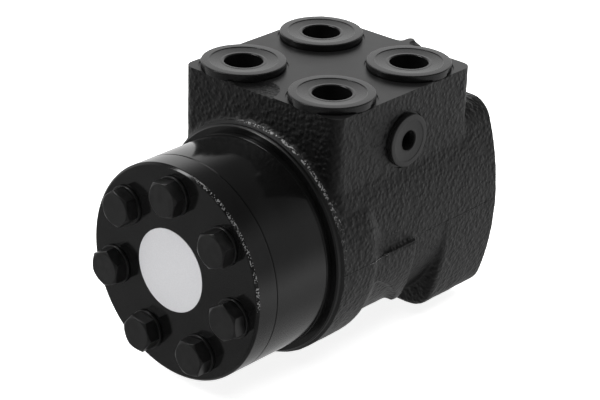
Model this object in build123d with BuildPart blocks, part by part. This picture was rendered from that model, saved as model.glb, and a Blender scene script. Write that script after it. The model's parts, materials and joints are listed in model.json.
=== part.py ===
from build123d import *
from math import atan2, cos, pi, sin, sqrt, tan
import os

# Orbital steering unit, in millimetres.
# The spool axis is Y. The origin is the centre of the face that bolts to the steering column, and
# +Y points out of that face. A depth is a distance from that face towards the gear set, along -Y.
# +Z points out of the four main ports, and +X out of the small load-sensing port.

# Clearances
running_clearance = 0.05      # radial, between turning or sliding pieces
static_clearance = 0.05       # radial, between pieces that are bolted or pressed together
cut_margin = 1.0              # cuts run this far past the surface that they open

# Casting
housing_length = 97.8         # column face to the seat of the distributor plate
flange_length = 32.5
flange_top = 40.2             # above the spool axis
flange_bottom = 42.4          # below the spool axis
flange_top_corner = 10.0
flange_bottom_corner = 12.0
flange_edge_radius = 2.5
parting_half_width = 43.3     # half the width of the casting at its parting line
side_crown_radius = 103.0     # the sides bulge out towards the parting line
block_start = 14.8            # depth of the block's back wall
block_end = 93.6              # depth of the block's front wall
block_top = 59.1
block_half_width = 39.0
block_corner_radius = 4.5
neck_radius = 45.4            # turned neck at the gear end
neck_length = 1.8
neck_chamfer_width = 0.6
neck_step_length = 1.0               # length of the slope from the boss to the neck
boss_radius = 46.3            # cast boss behind the neck
boss_end_depth = 77.0
boss_taper_length = 7.0
boss_blend_radius = 6.0
waist_radius = 43.0
pad_radius = 45.6             # cast pads under the parting line
pad_start = 51.5
pad_end = 77.8
pad_drop_height = 32.5
pad_flank_drop = 12.0         # the flank towards the column is straight this far down
pad_toe_reach = 7.5           # and then runs out towards the column
pad_sole_length = 5.0
pad_corner_drop = 9.0         # the flank towards the gear set ends here
pad_edge_bulge = 3.0
back_boss_radius = 9.5        # cast boss high on the back wall
back_boss_height = 7.0
back_boss_x = 4.5
back_boss_drop = 10.0
back_boss_edge_width = 1.5
patch_half_width = 11.0       # as-cast patch left in the machined top
patch_half_length = 11.5
patch_sink_depth = 0.6
patch_x = -3.4

# Column side
column_bolt_circle_diameter = 82.5
column_bolt_count = 4
column_bolt_radius = 4.25     # tapping size of M10
column_bolt_depth = 18.0
mouth_radius = 19.5
mouth_chamfer_width = 0.8
mouth_depth = 5.0
journal_land_radius = 15.0
land_width = 2.0
seal_groove_radius = 18.2
seal_width = 4.0

# Main ports
port_spacing_width = 44.8
port_spacing_length = 44.4
port_row_depth = 55.5         # depth of the middle of the port pattern
port_radius = 9.5             # tapping size of G 1/2
port_depth = 16.0
spot_face_radius = 17.2
spot_face_sink_depth = 0.5

# Load-sensing port
sensing_depth = 54.1
sensing_height = 40.3
sensing_radius = 5.9          # tapping size of G 1/4
sensing_port_depth = 12.0
sensing_spot_radius = 11.3

# Transport plugs
plug_flange_radius = 16.4
plug_flange_height = 2.5
plug_hollow_radius = 7.45
plug_shank_length = 8.0
plug_dish_depth = 0.6
plug_rim_width = 3.2
plug_floor_thickness = 1.5
sensing_plug_flange_radius = 10.4
sensing_plug_flange_height = 2.1
sensing_plug_hollow_radius = 3.85
sensing_plug_shank_length = 6.0
sensing_plug_rim_width = 2.2

# Valve bore and its annular grooves
bore_radius = 19.05
bearing_depth = 13.0          # depth of the shoulder that carries the thrust bearing
groove_radius = 22.0
groove_width = 4.0
right_groove_depth = 46.0
left_groove_depth = 54.0
commutator_depth = 62.0
tank_groove_depth = 70.0
pressure_groove_depth = 78.0

# Sleeve, spool and what joins them
spool_radius = 14.3
spool_end_depth = 2.5
spool_bore_radius = 10.2
spool_bore_gap = 1.3          # wall between the spring slot and the spool's bore
valve_end_gap = 0.2           # sleeve and spool to the distributor plate
window_length = 3.0           # windows in the sleeve's rows
window_width = 3.2
window_count = 6
spool_slot_width = 3.0
spool_slot_sink_depth = 1.5
spool_slot_length = 24.0
spool_slot_lead_length = 4.0         # a slot starts this far before its groove
input_teeth = 12              # 16/32 pitch socket
input_pitch_radius = 9.525
input_tooth_height = 1.58
tooth_root_share = 0.68       # width of a tooth at its root, over the pitch
tooth_flank_angle = 70.0
input_socket_depth = 18.0
pin_radius = 3.5
pin_depth = 33.3
pin_end_gap = 0.3
pin_chamfer_width = 0.5
spool_turn_play = 10.0        # degrees that the spool turns in the sleeve, each way
spring_slot_depth = 20.5
spring_slot_length = 6.0
spring_thickness = 0.5
spring_sag_depth = 1.2
spring_gap = 0.05
spring_ring_wall_thickness = 0.9

# Thrust bearing
race_thickness = 1.55
needle_radius = 1.0
needle_length = 3.4
needle_count = 12
bearing_gap = 0.05
race_inner_radius = 14.5
race_outer_radius = 18.9
cage_thickness = 1.2
cage_slot_gap = 0.08

# Gear set and cover
gear_set_radius = 42.5
plate_thickness = 2.6
gear_width = 26.7
lobe_count = 7
lobe_circle_radius = 32.5
lobe_radius = 8.0
orbit_radius = 3.5
points_per_lobe = 16
outline_crowding = 0.9        # how far the points of the rotor's outline crowd in its valleys
rotor_clearance = 0.12
rotor_end_gap = 0.02
ring_root_clearance = 0.25
drive_teeth = 12
drive_pitch_radius = 9.5
drive_tooth_height = 2.4
drive_tooth_clearance = 0.35
plate_hole_radius = 13.2
plate_port_radius = 2.6       # ways between the commutator and the gear set
plate_port_circle_radius = 27.5
cover_thickness = 10.3
cover_edge_width = 0.9
edge_break_width = 0.4

# Drive shaft
shaft_radius = 6.0
fork_radius = 8.6
fork_length = 14.0
fork_reach_length = 4.4              # fork tip beyond the middle of the pin
fork_clearance = 0.4
shaft_spline_length = 11.0
shaft_spline_depth = 113.0    # depth of the middle of the crowned spline
shaft_neck_radius = 5.2
shaft_neck_length = 3.0
shaft_neck_cone_length = 2.0
shaft_fork_cone_length = 4.0
spline_run_in_length = 1.0
spline_crown_depth = 0.4
spacer_radius = 8.0
spacer_gap = 0.2
spacer_length = 7.6

# Cap screws, M8
bolt_circle_radius = 31.4
bolt_radius = 4.0
bolt_clearance_radius = 4.4
bolt_flats_width = 13.0
bolt_head_height = 5.1
bolt_face_radius = 6.2        # flat top of the head, inside its chamfer
bolt_chamfer_angle = 30.0
bolt_engagement_length = 14.5
bolt_hole_depth = 16.5
bolt_head_turns = [12, 40, 25, 52, 8, 33, 20]
washer_radius = 7.7
washer_thickness = 1.2
ball_radius = 3.9
ball_seat_radius = 3.0
ball_travel_length = 1.5
ball_hole_index = 5
ball_seat_depth = 70.0
ball_passage_length = 8.0
pin_tip_radius = 2.4
pin_tip_length = 8.8

# O-rings
o_ring_radius = 38.9
o_ring_cord_width = 1.7
o_ring_side_gap = 0.2
o_ring_squeeze_gap = 0.05
o_ring_corner_width = 0.45          # an O-ring is squeezed to a rounded square

# Dust seal
dust_lip_length = 1.6
dust_lip_relief_depth = 1.2

# Label
label_radius = 16.4
label_thickness = 0.2
label_x = -1.6
label_z = 0.6

# Places worked out from the sizes above
plate_depth = housing_length
ring_depth = plate_depth + plate_thickness
cover_depth = ring_depth + gear_width
cover_face_depth = cover_depth + cover_thickness
head_depth = cover_face_depth + washer_thickness
sleeve_radius = bore_radius - running_clearance
sleeve_bore_radius = spool_radius + running_clearance
valve_end_depth = housing_length - valve_end_gap
neck_depth = housing_length - neck_length
seal_start = mouth_depth + land_width
seal_end = seal_start + seal_width
needle_depth = bearing_depth + bearing_gap + race_thickness + bearing_gap + needle_radius
inner_race_depth = needle_depth + needle_radius + bearing_gap
sleeve_start = inner_race_depth + race_thickness + bearing_gap
spool_pin_hole = pin_radius + spool_radius * sin(spool_turn_play * pi / 180) + running_clearance
spool_bore_start = spring_slot_depth + spring_slot_length + spool_bore_gap
spring_slot_half = 3 * spring_thickness + spring_sag_depth + 3.5 * spring_gap
drive_angle = atan2(orbit_radius, shaft_spline_depth - pin_depth)
rotor_axis_z = orbit_radius
first_bolt_angle = 90.0
bolt_step = 360.0 / lobe_count
ball_angle = (first_bolt_angle + ball_hole_index * bolt_step) * pi / 180
ball_x = bolt_circle_radius * cos(ball_angle)
ball_z = bolt_circle_radius * sin(ball_angle)
ball_depth = ball_seat_depth + sqrt(ball_radius ** 2 - ball_seat_radius ** 2) + o_ring_squeeze_gap
port_places = {
    "pressure": (port_spacing_width / 2, port_row_depth + port_spacing_length / 2),
    "tank": (-port_spacing_width / 2, port_row_depth + port_spacing_length / 2),
    "left": (port_spacing_width / 2, port_row_depth - port_spacing_length / 2),
    "right": (-port_spacing_width / 2, port_row_depth - port_spacing_length / 2),
}
groove_depths = {
    "pressure": pressure_groove_depth,
    "tank": tank_groove_depth,
    "left": left_groove_depth,
    "right": right_groove_depth,
}


def across(depth):
    """Plane across the spool axis: local x is X, local y is Z, and it faces the gear end."""
    return Plane.XZ.offset(depth)


def mouth_plane(x, depth, z, direction):
    """Plane in the mouth of a port, facing out of it."""
    return Plane(origin=(x, -depth, z), x_dir=(0, -1, 0), z_dir=direction)


def lengthwise(plane):
    """Plane that holds the axis of a port: its local y points out of the port."""
    return Plane(origin=plane.origin, x_dir=plane.x_dir, z_dir=-plane.y_dir)


def crown_width(z):
    """Half the width of the casting at a height over its parting line."""
    return parting_half_width - side_crown_radius + sqrt(side_crown_radius ** 2 - z ** 2)


def washer_ring(outer, inner, depth, length):
    """Plain ring round the spool axis, from a depth on."""
    with BuildPart() as ring:
        with BuildSketch(across(depth)):
            Circle(outer)
            Circle(inner, mode=Mode.SUBTRACT)
        extrude(amount=length)
    return ring.part


def o_ring(depth):
    """O-ring that lies in its groove just behind a joint face at this depth."""
    with BuildPart() as ring:
        with BuildSketch(Plane.XY) as section:
            with Locations((o_ring_radius, -depth)):
                Rectangle(o_ring_cord_width, o_ring_cord_width)
            chamfer(section.vertices(), o_ring_corner_width)
        revolve(axis=Axis.Y)
    return ring.part


def o_ring_groove(depth):
    """Space of the groove that an O-ring lies in, from a depth on."""
    return washer_ring(
        o_ring_radius + o_ring_cord_width / 2 + o_ring_side_gap,
        o_ring_radius - o_ring_cord_width / 2 - o_ring_side_gap,
        depth, o_ring_cord_width + o_ring_squeeze_gap)


def spline_teeth(count, pitch_radius, height, extra):
    """Straight-flanked teeth round a circle, each grown by extra and rooted in the circle."""
    pitch = 2 * pi * pitch_radius / count
    root = height / 4
    Circle(pitch_radius - height / 2 + extra)
    with PolarLocations(pitch_radius + extra / 2 - root / 2, count):
        Trapezoid(
            pitch * tooth_root_share + extra * 2, height + extra + root, tooth_flank_angle, rotation=-90)


def rotor_point(step):
    """Point of the rotor outline: a curve rolled round the ring's lobes, taken in by their radius.

    The steps crowd in the valleys, where the outline turns fastest.
    """
    turn = step - outline_crowding * sin((lobe_count - 1) * step) / (lobe_count - 1)
    x = lobe_circle_radius * cos(turn) - orbit_radius * cos(lobe_count * turn)
    y = lobe_circle_radius * sin(turn) - orbit_radius * sin(lobe_count * turn)
    dx = -lobe_circle_radius * sin(turn) + lobe_count * orbit_radius * sin(lobe_count * turn)
    dy = lobe_circle_radius * cos(turn) - lobe_count * orbit_radius * cos(lobe_count * turn)
    inset = (lobe_radius + rotor_clearance) / sqrt(dx ** 2 + dy ** 2)
    return (x - dy * inset, y + dx * inset)


def push_in_plug(mouth, flange_radius, stand_out, sink, hollow_radius, shank_radius, shank_length, rim):
    """Flanged transport plug, seated in the spot face of a port."""
    dish = plug_dish_depth * flange_radius / plug_flange_radius
    with BuildPart() as plug:
        with BuildSketch(lengthwise(mouth)):
            with BuildLine():
                Polyline(
                    (0, -sink - shank_length), (shank_radius - edge_break_width, -sink - shank_length),
                    (shank_radius, -sink - shank_length + edge_break_width), (shank_radius, -sink),
                    (flange_radius, -sink), (flange_radius, stand_out - edge_break_width),
                    (flange_radius - edge_break_width, stand_out), (flange_radius - rim, stand_out),
                    (hollow_radius + edge_break_width, stand_out - dish),
                    (hollow_radius, stand_out - dish - edge_break_width),
                    (hollow_radius, -sink - shank_length + plug_floor_thickness),
                    (0, -sink - shank_length + plug_floor_thickness), close=True)
            make_face()
        revolve(axis=Axis(mouth.origin, mouth.z_dir))
    return plug.part


def cap_screw(angle, turn, shank_end, tip_end=0.0):
    """Hex cap screw of the end cover. A tip_end over zero adds a pin that reaches that depth."""
    x = bolt_circle_radius * cos(angle * pi / 180)
    z = bolt_circle_radius * sin(angle * pi / 180)
    corner = bolt_flats_width / sqrt(3)
    chamfer_drop = (corner - bolt_face_radius) * tan(bolt_chamfer_angle * pi / 180)
    with BuildPart() as screw:
        with BuildSketch(across(head_depth)):
            with Locations((x, z)):
                RegularPolygon(bolt_flats_width / 2, 6, major_radius=False, rotation=turn)
        extrude(amount=bolt_head_height)
        with BuildSketch(Plane(origin=(x, -head_depth, z), x_dir=(1, 0, 0), z_dir=(0, 0, 1))):
            with BuildLine():
                Polyline(
                    (0, 0), (corner, 0), (corner, -bolt_head_height + chamfer_drop),
                    (bolt_face_radius, -bolt_head_height), (0, -bolt_head_height), close=True)
            make_face()
        revolve(axis=Axis((x, 0, z), (0, 1, 0)), mode=Mode.INTERSECT)
        with BuildSketch(across(shank_end)):
            with Locations((x, z)):
                Circle(bolt_radius)
        extrude(amount=head_depth - shank_end)
        if tip_end > 0:
            with BuildSketch(across(tip_end)):
                with Locations((x, z)):
                    Circle(pin_tip_radius)
            extrude(amount=shank_end - tip_end)
    return screw.part


# Flange that bolts to the steering column
with BuildPart() as column_flange:
    with BuildSketch(across(0)) as flange_outline:
        with BuildLine():
            top_x = crown_width(flange_top)
            bottom_x = crown_width(flange_bottom)
            ThreePointArc((top_x, flange_top), (parting_half_width, 0), (bottom_x, -flange_bottom))
            Line((bottom_x, -flange_bottom), (-bottom_x, -flange_bottom))
            ThreePointArc((-bottom_x, -flange_bottom), (-parting_half_width, 0), (-top_x, flange_top))
            Line((-top_x, flange_top), (top_x, flange_top))
        make_face()
        fillet(flange_outline.vertices().group_by(Axis.Y)[-1], flange_top_corner)
        fillet(flange_outline.vertices().group_by(Axis.Y)[0], flange_bottom_corner)
    extrude(amount=flange_length)
    fillet(column_flange.faces().sort_by(Axis.Y)[0].edges(), flange_edge_radius)

# Block that carries the ports
with BuildPart() as port_block:
    with BuildSketch(across(block_start)):
        with BuildLine():
            crown_drop = parting_half_width - block_half_width
            shoulder = sqrt(side_crown_radius ** 2 - (side_crown_radius - crown_drop) ** 2)
            middle = shoulder / 2
            Line((block_half_width, block_top), (block_half_width, shoulder))
            ThreePointArc(
                (block_half_width, shoulder), (crown_width(middle), middle), (parting_half_width, 0))
            Line((parting_half_width, 0), (-parting_half_width, 0))
            ThreePointArc(
                (-parting_half_width, 0), (-crown_width(middle), middle), (-block_half_width, shoulder))
            Line((-block_half_width, shoulder), (-block_half_width, block_top))
            Line((-block_half_width, block_top), (block_half_width, block_top))
        make_face()
    extrude(amount=block_end - block_start)
    side_x = block_half_width - block_corner_radius
    upright = port_block.edges().filter_by(lambda e: abs(e.center().X) > side_x)
    upright = upright.filter_by(lambda e: abs(e.tangent_at(0.5).Y) < 0.5)
    fillet(upright, block_corner_radius)
    with BuildSketch(across(block_start - back_boss_height)):
        with Locations((back_boss_x, block_top - back_boss_drop)):
            Circle(back_boss_radius)
    extrude(amount=back_boss_height + block_corner_radius)
    rim = port_block.faces().filter_by(Axis.Y).sort_by(Axis.Y)[-1].edges()
    chamfer(rim, back_boss_edge_width)

# Barrel round the valve bore
with BuildPart() as barrel:
    with BuildSketch(Plane.XY) as barrel_profile:
        with BuildLine():
            Polyline(
                (0, -block_start), (waist_radius, -block_start),
                (waist_radius, boss_taper_length - boss_end_depth), (boss_radius, -boss_end_depth),
                (boss_radius, neck_step_length - neck_depth), (neck_radius, -neck_depth),
                (neck_radius, neck_chamfer_width - housing_length),
                (neck_radius - neck_chamfer_width, -housing_length), (0, -housing_length), close=True)
        make_face()
        corners = barrel_profile.vertices()
        fillet(
            corners.filter_by_position(Axis.Y, -boss_end_depth, boss_taper_length - boss_end_depth),
            boss_blend_radius)
    revolve(axis=Axis.Y)

# Cast pads below the parting line, one on each side
with BuildPart() as pads:
    with BuildSketch(Plane.YZ) as pad_outline:
        with BuildLine():
            toe = -pad_start + pad_toe_reach
            sole_end = toe - pad_sole_length
            Line((-pad_start, 0), (-pad_start, -pad_flank_drop))
            TangentArc((-pad_start, -pad_flank_drop), (toe, -pad_drop_height), tangent=(0, -1))
            Line((toe, -pad_drop_height), (sole_end, -pad_drop_height))
            SagittaArc((sole_end, -pad_drop_height), (-pad_end, -pad_corner_drop), -pad_edge_bulge)
            Line((-pad_end, -pad_corner_drop), (-pad_end, 0))
            Line((-pad_end, 0), (-pad_start, 0))
        make_face()
    extrude(amount=pad_radius, both=True)
    with BuildSketch(across(0)):
        Circle(pad_radius)
    extrude(amount=housing_length, mode=Mode.INTERSECT)

# Steering housing
with BuildPart() as housing:
    add(column_flange.part)
    add(barrel.part)
    add(port_block.part)
    add(pads.part)

    # Machined top: patch left as cast, spot faces and ports
    with BuildSketch(Plane.XY.offset(block_top)):
        with Locations((patch_x, -block_end)):
            Ellipse(patch_half_width, patch_half_length)
    extrude(amount=-patch_sink_depth, mode=Mode.SUBTRACT)
    for port, (port_x, port_y) in port_places.items():
        with BuildSketch(Plane.XY.offset(block_top)):
            with Locations((port_x, -port_y)):
                Circle(spot_face_radius)
        extrude(amount=-spot_face_sink_depth, mode=Mode.SUBTRACT)
        with BuildSketch(Plane.XY.offset(block_top)):
            with Locations((port_x, -port_y)):
                Circle(port_radius)
        extrude(amount=-port_depth, mode=Mode.SUBTRACT)

    # Load-sensing port in the side
    side_mouth = mouth_plane(block_half_width, sensing_depth, sensing_height, (1, 0, 0))
    with BuildSketch(side_mouth):
        Circle(sensing_spot_radius)
    extrude(amount=-spot_face_sink_depth, mode=Mode.SUBTRACT)
    with BuildSketch(side_mouth):
        Circle(sensing_radius)
    extrude(amount=-sensing_port_depth, mode=Mode.SUBTRACT)

    # Valve bore with its seal lands, and the annular grooves
    with BuildSketch(Plane.XY):
        with BuildLine():
            Polyline(
                (0, cut_margin), (mouth_radius + mouth_chamfer_width + cut_margin, cut_margin),
                (mouth_radius, -mouth_chamfer_width),
                (mouth_radius, -mouth_depth), (journal_land_radius, -mouth_depth),
                (journal_land_radius, -seal_start), (seal_groove_radius, -seal_start),
                (seal_groove_radius, -seal_end), (journal_land_radius, -seal_end),
                (journal_land_radius, -bearing_depth), (bore_radius, -bearing_depth),
                (bore_radius, -housing_length - cut_margin), (0, -housing_length - cut_margin), close=True)
        make_face()
        for groove in groove_depths.values():
            with Locations(((bore_radius + groove_radius) / 2, -groove)):
                Rectangle(groove_radius - bore_radius, groove_width)
    revolve(axis=Axis.Y, mode=Mode.SUBTRACT)

    # Tapped holes for the cover's cap screws, and the hole of the check ball
    with BuildSketch(across(housing_length - bolt_hole_depth)):
        with PolarLocations(bolt_circle_radius, lobe_count, start_angle=first_bolt_angle):
            Circle(bolt_radius + static_clearance)
    extrude(amount=bolt_hole_depth, mode=Mode.SUBTRACT)
    with BuildSketch(across(ball_seat_depth)):
        with Locations((ball_x, ball_z)):
            Circle(bolt_radius + static_clearance)
    extrude(amount=housing_length - ball_seat_depth, mode=Mode.SUBTRACT)
    with BuildSketch(across(ball_seat_depth - ball_passage_length)):
        with Locations((ball_x, ball_z)):
            Circle(ball_seat_radius)
    extrude(amount=ball_passage_length, mode=Mode.SUBTRACT)
    add(o_ring_groove(housing_length - o_ring_cord_width - o_ring_squeeze_gap), mode=Mode.SUBTRACT)

    # Tapped holes for the steering column
    with BuildSketch(across(0)):
        with PolarLocations(column_bolt_circle_diameter / 2, column_bolt_count, start_angle=45):
            Circle(column_bolt_radius)
    extrude(amount=column_bolt_depth, mode=Mode.SUBTRACT)
housing.part.label = "housing"
export_step(housing.part, "parts/housing.step")

# Distributor plate between the housing and the gear ring
with BuildPart() as distributor_plate:
    with BuildSketch(across(plate_depth)):
        Circle(gear_set_radius)
        Circle(plate_hole_radius, mode=Mode.SUBTRACT)
        with PolarLocations(bolt_circle_radius, lobe_count, start_angle=first_bolt_angle):
            Circle(bolt_clearance_radius, mode=Mode.SUBTRACT)
        with PolarLocations(plate_port_circle_radius, lobe_count, start_angle=first_bolt_angle + bolt_step / 2):
            Circle(plate_port_radius, mode=Mode.SUBTRACT)
    extrude(amount=plate_thickness)
distributor_plate.part.label = "distributor_plate"
export_step(distributor_plate.part, "parts/distributor_plate.step")

# Gear ring with its inner lobes; the cap screws pass through them
ring_root_radius = lobe_circle_radius + 2 * orbit_radius - lobe_radius + ring_root_clearance
with BuildPart() as gear_ring:
    with BuildSketch(across(ring_depth)):
        Circle(gear_set_radius)
        Circle(ring_root_radius, mode=Mode.SUBTRACT)
        with PolarLocations(lobe_circle_radius, lobe_count, start_angle=first_bolt_angle):
            Circle(lobe_radius)
        with PolarLocations(bolt_circle_radius, lobe_count, start_angle=first_bolt_angle):
            Circle(bolt_clearance_radius, mode=Mode.SUBTRACT)
    extrude(amount=gear_width)
    rims = gear_ring.edges().filter_by(GeomType.CIRCLE).filter_by(lambda e: e.radius > o_ring_radius)
    chamfer(rims, edge_break_width)
    add(o_ring_groove(ring_depth), mode=Mode.SUBTRACT)
gear_ring.part.label = "gear_ring"
export_step(gear_ring.part, "parts/gear_ring.step")

# Rotor, in mesh with the top lobe
rotor_points = points_per_lobe * (lobe_count - 1)
with BuildPart() as rotor:
    rotor_plane = Plane(origin=(0, -ring_depth, rotor_axis_z), x_dir=(0, 0, 1), z_dir=(0, -1, 0))
    with BuildSketch(rotor_plane.offset(rotor_end_gap)):
        with BuildLine():
            Spline([rotor_point(2 * pi * k / rotor_points) for k in range(rotor_points)], periodic=True)
        make_face()
    extrude(amount=gear_width - 2 * rotor_end_gap)
    with BuildSketch(rotor_plane):
        spline_teeth(drive_teeth, drive_pitch_radius, drive_tooth_height, drive_tooth_clearance)
    extrude(amount=gear_width, mode=Mode.SUBTRACT)
rotor.part.label = "rotor"
export_step(rotor.part, "parts/rotor.step")

# End cover
with BuildPart() as end_cover:
    with BuildSketch(across(cover_depth)):
        Circle(gear_set_radius)
    extrude(amount=cover_thickness)
    chamfer(end_cover.edges().sort_by(Axis.Y)[0], cover_edge_width)
    chamfer(end_cover.edges().sort_by(Axis.Y)[-1], edge_break_width)
    with BuildSketch(across(cover_depth)):
        with PolarLocations(bolt_circle_radius, lobe_count, start_angle=first_bolt_angle):
            Circle(bolt_clearance_radius)
    extrude(amount=cover_thickness, mode=Mode.SUBTRACT)
    add(o_ring_groove(cover_depth), mode=Mode.SUBTRACT)
end_cover.part.label = "end_cover"
export_step(end_cover.part, "parts/end_cover.step")

# Cap screws and their sealing washers; one screw has a pin tip that keeps the check ball in
screws = []
washers = []
for k in range(lobe_count):
    angle = first_bolt_angle + k * bolt_step
    if k != ball_hole_index:
        screws.append(cap_screw(angle, bolt_head_turns[k], housing_length - bolt_engagement_length))
with BuildPart() as cover_bolts:
    for screw in screws:
        add(screw)
cover_bolts.part.label = "cover_bolts"
export_step(cover_bolts.part, "parts/cover_bolts.step")

tip_depth = ball_depth + ball_radius + ball_travel_length + static_clearance
pin_bolt = cap_screw(
    first_bolt_angle + ball_hole_index * bolt_step, bolt_head_turns[ball_hole_index],
    tip_depth + pin_tip_length, tip_depth)
pin_bolt.label = "pin_bolt"
export_step(pin_bolt, "parts/pin_bolt.step")

with BuildPart() as bolt_washers:
    with BuildSketch(across(cover_face_depth)):
        with PolarLocations(bolt_circle_radius, lobe_count, start_angle=first_bolt_angle):
            Circle(washer_radius)
            Circle(bolt_clearance_radius, mode=Mode.SUBTRACT)
    extrude(amount=washer_thickness)
bolt_washers.part.label = "bolt_washers"
export_step(bolt_washers.part, "parts/bolt_washers.step")

with BuildPart() as check_ball:
    with Locations((ball_x, -ball_depth, ball_z)):
        Sphere(ball_radius)
check_ball.part.label = "check_ball"
export_step(check_ball.part, "parts/check_ball.step")

# O-rings, each in its groove
for name, depth in (
        ("housing_o_ring", housing_length - o_ring_cord_width / 2 - o_ring_squeeze_gap),
        ("plate_o_ring", ring_depth + o_ring_cord_width / 2 + o_ring_squeeze_gap / 2),
        ("cover_o_ring", cover_depth + o_ring_cord_width / 2 + o_ring_squeeze_gap / 2)):
    seal = o_ring(depth)
    seal.label = name
    export_step(seal, f"parts/{name}.step")

# Valve sleeve
with BuildPart() as sleeve:
    with BuildSketch(across(sleeve_start)):
        Circle(sleeve_radius)
        Circle(sleeve_bore_radius, mode=Mode.SUBTRACT)
    extrude(amount=valve_end_depth - sleeve_start)
    ring_seat_radius = sleeve_radius - spring_ring_wall_thickness - running_clearance
    with BuildSketch(across(spring_slot_depth)):
        Circle(sleeve_radius + cut_margin)
        Circle(ring_seat_radius, mode=Mode.SUBTRACT)
    extrude(amount=spring_slot_length, mode=Mode.SUBTRACT)
    with BuildSketch(across(spring_slot_depth)):
        Rectangle(2 * (sleeve_radius + cut_margin), 2 * spring_slot_half)
    extrude(amount=spring_slot_length, mode=Mode.SUBTRACT)
    with BuildSketch(Plane.YZ):
        with Locations((-pin_depth, 0)):
            Circle(pin_radius + static_clearance)
    extrude(amount=sleeve_radius + cut_margin, both=True, mode=Mode.SUBTRACT)
    for depth, count, start in (
            (right_groove_depth, window_count, 0), (left_groove_depth, window_count, 30),
            (commutator_depth, 2 * window_count, 15), (tank_groove_depth, window_count, 0),
            (pressure_groove_depth, window_count, 30)):
        for k in range(count):
            angle = (start + k * 360 / count) * pi / 180
            outward = Vector(cos(angle), 0, sin(angle))
            root = outward * (sleeve_bore_radius - cut_margin) + Vector(0, -depth, 0)
            with BuildSketch(Plane(origin=root, x_dir=(0, 1, 0), z_dir=outward)):
                Rectangle(window_length, window_width)
            extrude(amount=sleeve_radius - sleeve_bore_radius + 2 * cut_margin, mode=Mode.SUBTRACT)
sleeve.part.label = "sleeve"
export_step(sleeve.part, "parts/sleeve.step")

# Spool with the splined socket of the steering column in its end
with BuildPart() as spool:
    with BuildSketch(across(spool_end_depth)):
        Circle(spool_radius)
    extrude(amount=valve_end_depth - spool_end_depth)
    chamfer(spool.edges().filter_by(GeomType.CIRCLE), edge_break_width)
    with BuildSketch(across(spool_end_depth)):
        spline_teeth(input_teeth, input_pitch_radius, input_tooth_height, 0)
    extrude(amount=input_socket_depth - spool_end_depth, mode=Mode.SUBTRACT)
    with BuildSketch(across(spool_bore_start)):
        Circle(spool_bore_radius)
    extrude(amount=valve_end_depth - spool_bore_start, mode=Mode.SUBTRACT)
    with BuildSketch(across(spring_slot_depth)):
        Rectangle(2 * (spool_radius + cut_margin), 2 * spring_slot_half)
    extrude(amount=spring_slot_length, mode=Mode.SUBTRACT)
    with BuildSketch(Plane.YZ):
        with Locations((-pin_depth, 0)):
            Circle(spool_pin_hole)
    extrude(amount=spool_radius + cut_margin, both=True, mode=Mode.SUBTRACT)
    for start_angle, depth in ((0, commutator_depth), (30, right_groove_depth)):
        with BuildSketch(across(depth - spool_slot_lead_length)):
            with PolarLocations(spool_radius, window_count, start_angle=start_angle):
                Rectangle(2 * spool_slot_sink_depth, spool_slot_width)
        extrude(amount=spool_slot_length, mode=Mode.SUBTRACT)
spool.part.label = "spool"
export_step(spool.part, "parts/spool.step")

# Cross pin through sleeve, spool and fork
with BuildPart() as cross_pin:
    with BuildSketch(Plane.YZ):
        with Locations((-pin_depth, 0)):
            Circle(pin_radius)
    extrude(amount=sleeve_radius - pin_end_gap, both=True)
    chamfer(cross_pin.edges().filter_by(GeomType.CIRCLE), pin_chamfer_width)
cross_pin.part.label = "cross_pin"
export_step(cross_pin.part, "parts/cross_pin.step")

# Centring springs: two pairs of arched leaves, back to back, between two flat ones
spring_half_length = sqrt((ring_seat_radius - spring_gap) ** 2 - spring_slot_half ** 2)
leaf_width = spring_slot_length - 4 * spring_gap
with BuildPart() as centring_springs:
    for side in (1, -1):
        for layer in range(2):
            middle_z = spring_gap / 2 + layer * (spring_thickness + spring_gap)
            end_z = middle_z + spring_sag_depth
            with BuildSketch(across(spring_slot_depth + 2 * spring_gap)):
                with BuildLine():
                    inner = ThreePointArc(
                        (-spring_half_length, side * end_z), (0, side * middle_z),
                        (spring_half_length, side * end_z))
                    outer = ThreePointArc(
                        (-spring_half_length, side * (end_z + spring_thickness)),
                        (0, side * (middle_z + spring_thickness)),
                        (spring_half_length, side * (end_z + spring_thickness)))
                    Line(inner @ 0, outer @ 0)
                    Line(inner @ 1, outer @ 1)
                make_face()
            extrude(amount=leaf_width)
        with BuildSketch(across(spring_slot_depth + 2 * spring_gap)):
            with Locations((0, side * (spring_slot_half - spring_gap - spring_thickness / 2))):
                Rectangle(2 * spring_half_length, spring_thickness)
        extrude(amount=leaf_width)
centring_springs.part.label = "centring_springs"
export_step(centring_springs.part, "parts/centring_springs.step")

with BuildPart() as spring_ring:
    add(washer_ring(sleeve_radius - running_clearance, ring_seat_radius + static_clearance,
                    spring_slot_depth + 2 * spring_gap, leaf_width))
spring_ring.part.label = "spring_ring"
export_step(spring_ring.part, "parts/spring_ring.step")

# Thrust bearing between the housing shoulder and the sleeve
outer_race = washer_ring(race_outer_radius, race_inner_radius, bearing_depth + bearing_gap, race_thickness)
outer_race.label = "bearing_outer_race"
export_step(outer_race, "parts/bearing_outer_race.step")
inner_race = washer_ring(race_outer_radius, race_inner_radius, inner_race_depth, race_thickness)
inner_race.label = "bearing_inner_race"
export_step(inner_race, "parts/bearing_inner_race.step")

needle_middle = (race_inner_radius + race_outer_radius) / 2
with BuildPart() as bearing_cage:
    with BuildSketch(across(needle_depth - cage_thickness / 2)):
        Circle(race_outer_radius - cage_slot_gap)
        Circle(race_inner_radius + cage_slot_gap, mode=Mode.SUBTRACT)
        with PolarLocations(needle_middle, needle_count):
            Rectangle(
                needle_length + 2 * cage_slot_gap, 2 * (needle_radius + cage_slot_gap), mode=Mode.SUBTRACT)
    extrude(amount=cage_thickness)
bearing_cage.part.label = "bearing_cage"
export_step(bearing_cage.part, "parts/bearing_cage.step")

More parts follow.
